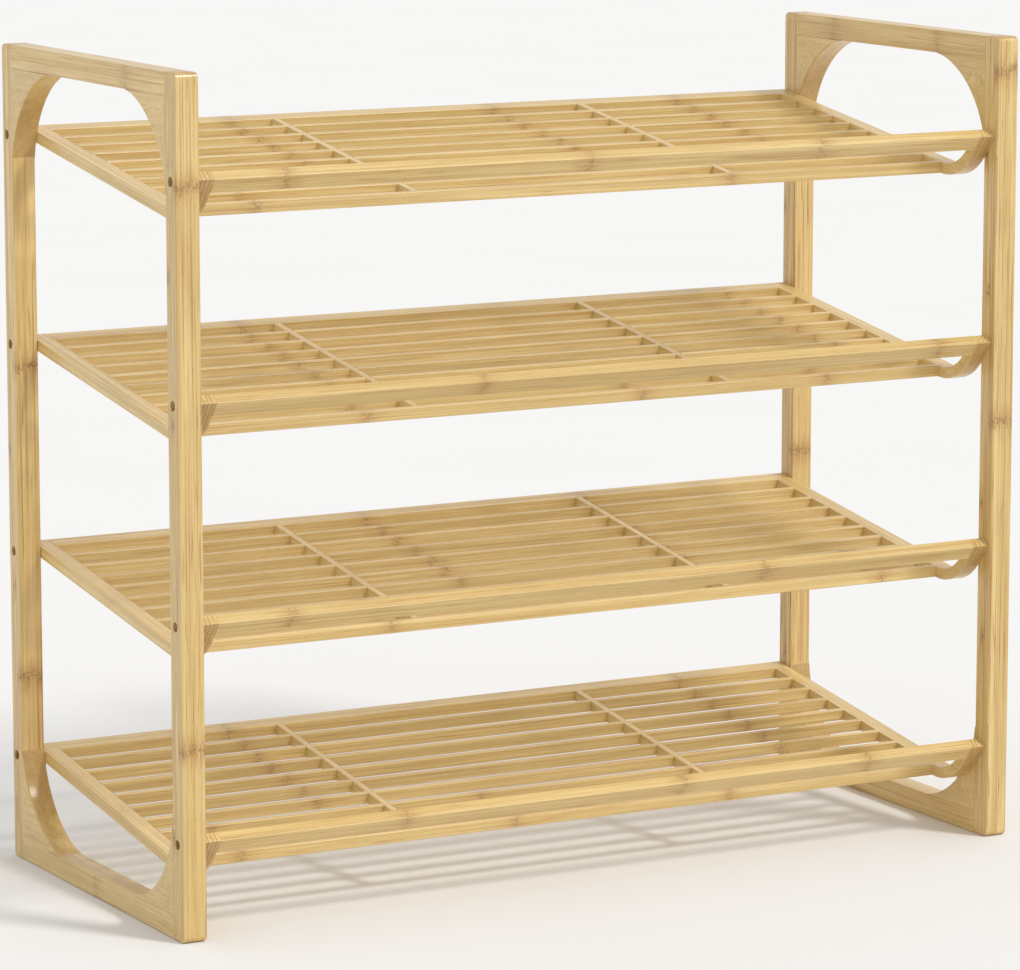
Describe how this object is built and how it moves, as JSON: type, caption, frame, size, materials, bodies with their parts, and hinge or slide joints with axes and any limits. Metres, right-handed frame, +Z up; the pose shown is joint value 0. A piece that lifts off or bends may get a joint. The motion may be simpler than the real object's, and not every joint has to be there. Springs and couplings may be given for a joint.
{
  "type": "tiered shoe rack",
  "caption": "Free-standing wooden shoe rack: two open side frames with arched corners carry slatted shelves that tilt down to an upturned front lip.",
  "frame": {"origin": "centre of the rack's footprint, on the floor", "axes": "+X from the left side frame to the right one, +Y from front to back, +Z up"},
  "size_m": [0.8, 0.35, 0.706],
  "materials": {
    "bamboo_frame": "satin lacquered bamboo, laminated strips",
    "bamboo_shelf": "satin lacquered bamboo",
    "dowel_wood": "raw turned wood",
    "bolt_steel": "dark zinc plated",
    "insert_brass": "machined"
  },
  "bodies": {
    "root": {"left_front_post": "bamboo_frame", "left_rear_post": "bamboo_frame", "left_top_rail": "bamboo_frame", "left_bottom_rail": "bamboo_frame", "left_top_front_block": "bamboo_frame", "left_top_rear_block": "bamboo_frame", "left_bottom_front_block": "bamboo_frame", "left_bottom_rear_block": "bamboo_frame", "left_frame_dowels": "dowel_wood", "right_front_post": "bamboo_frame", "right_rear_post": "bamboo_frame", "right_top_rail": "bamboo_frame", "right_bottom_rail": "bamboo_frame", "right_top_front_block": "bamboo_frame", "right_top_rear_block": "bamboo_frame", "right_bottom_front_block": "bamboo_frame", "right_bottom_rear_block": "bamboo_frame", "right_frame_dowels": "dowel_wood", "shelf_1_left_cheek": "bamboo_shelf", "shelf_1_right_cheek": "bamboo_shelf", "shelf_1_back_rail": "bamboo_shelf", "shelf_1_lip_rail": "bamboo_shelf", "shelf_1_slats": "bamboo_shelf", "shelf_1_left_crossbar": "bamboo_shelf", "shelf_1_right_crossbar": "bamboo_shelf", "shelf_1_bolts": "bolt_steel", "shelf_1_inserts": "insert_brass", "shelf_1_pins": "dowel_wood", "shelf_2_left_cheek": "bamboo_shelf", "shelf_2_right_cheek": "bamboo_shelf", "shelf_2_back_rail": "bamboo_shelf", "shelf_2_lip_rail": "bamboo_shelf", "shelf_2_slats": "bamboo_shelf", "shelf_2_left_crossbar": "bamboo_shelf", "shelf_2_right_crossbar": "bamboo_shelf", "shelf_2_bolts": "bolt_steel", "shelf_2_inserts": "insert_brass", "shelf_2_pins": "dowel_wood", "shelf_3_left_cheek": "bamboo_shelf", "shelf_3_right_cheek": "bamboo_shelf", "shelf_3_back_rail": "bamboo_shelf", "shelf_3_lip_rail": "bamboo_shelf", "shelf_3_slats": "bamboo_shelf", "shelf_3_left_crossbar": "bamboo_shelf", "shelf_3_right_crossbar": "bamboo_shelf", "shelf_3_bolts": "bolt_steel", "shelf_3_inserts": "insert_brass", "shelf_3_pins": "dowel_wood", "shelf_4_left_cheek": "bamboo_shelf", "shelf_4_right_cheek": "bamboo_shelf", "shelf_4_back_rail": "bamboo_shelf", "shelf_4_lip_rail": "bamboo_shelf", "shelf_4_slats": "bamboo_shelf", "shelf_4_left_crossbar": "bamboo_shelf", "shelf_4_right_crossbar": "bamboo_shelf", "shelf_4_bolts": "bolt_steel", "shelf_4_inserts": "insert_brass", "shelf_4_pins": "dowel_wood"}
  },
  "joints": []
}
